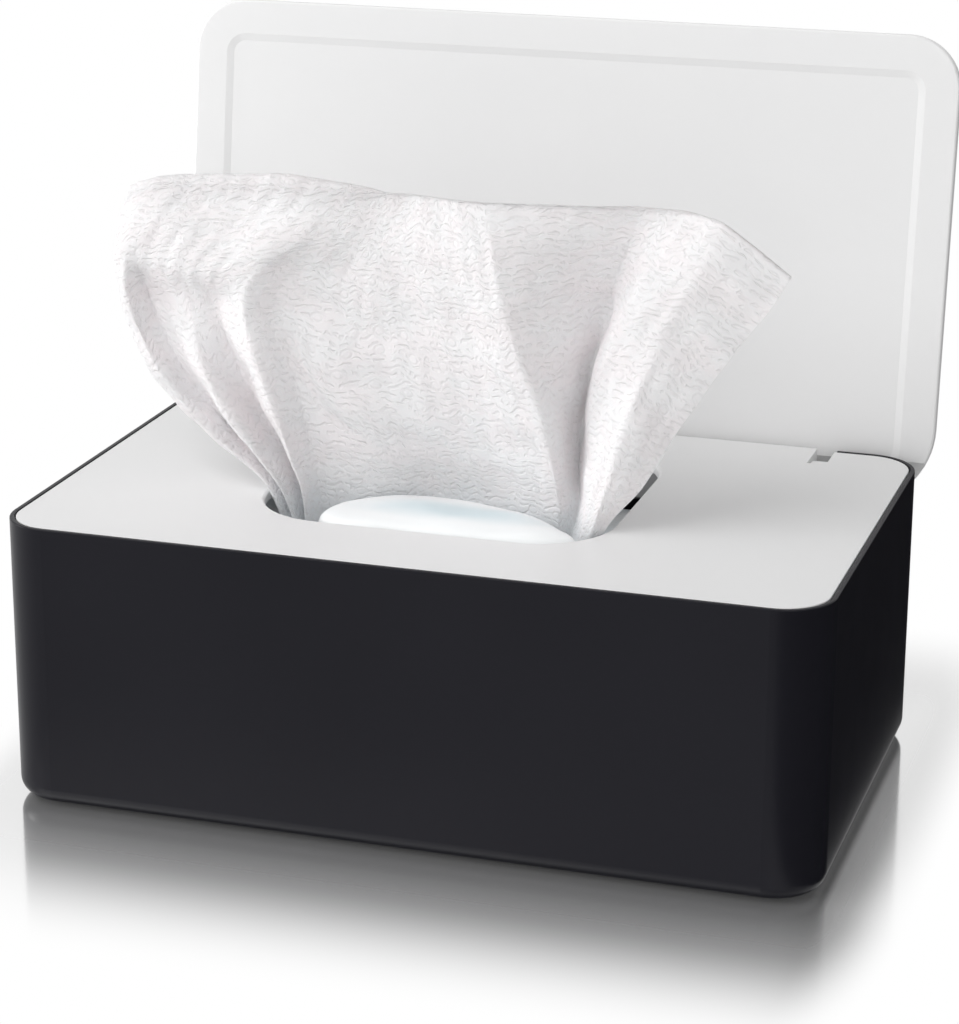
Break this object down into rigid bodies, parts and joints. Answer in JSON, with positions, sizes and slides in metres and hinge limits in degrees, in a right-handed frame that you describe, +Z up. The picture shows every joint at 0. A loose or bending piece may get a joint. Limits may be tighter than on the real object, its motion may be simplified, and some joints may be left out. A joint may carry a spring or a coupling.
{
  "type": "wipe dispenser",
  "caption": "Table-top box for wet wipes with a lift-out plate, an opening for pulling a wipe, and a hinged lid shown open.",
  "frame": {"origin": "centre of the box's flat underside", "axes": "+X to the right along the long side, +Y to the hinge at the back, +Z up"},
  "size_m": [0.194, 0.1363, 0.1666],
  "materials": {
    "dark_plastic": "satin moulded",
    "white_plastic": "satin moulded",
    "white_plastic_lid": "satin moulded",
    "pin_steel": "drawn wire",
    "silicone_pad": "matte",
    "wipe_cloth": "embossed nonwoven",
    "folded_wipes": "damp nonwoven"
  },
  "bodies": {
    "box": {"base_shell": "dark_plastic", "foot_pad_front_left": "silicone_pad", "foot_pad_front_right": "silicone_pad", "foot_pad_back_left": "silicone_pad", "foot_pad_back_right": "silicone_pad", "wipe_stack": "folded_wipes", "next_wipe": "folded_wipes"},
    "plate": {"top_plate": "white_plastic", "hinge_pin_left": "pin_steel", "hinge_pin_right": "pin_steel", "pulled_wipe": "wipe_cloth"},
    "lid": {"lid_panel": "white_plastic_lid"}
  },
  "joints": [
    {"name": "plate_lift", "type": "slide", "parent": "box", "child": "plate", "axis": [0, 0, 1], "range_m": [0, 0.06]},
    {"name": "lid_hinge", "type": "hinge", "parent": "plate", "child": "lid", "pos_m": [0, 0.05, 0.0584], "axis": [1, 0, 0], "range_deg": [0, 98], "deforming": ["pulled_wipe"]}
  ]
}
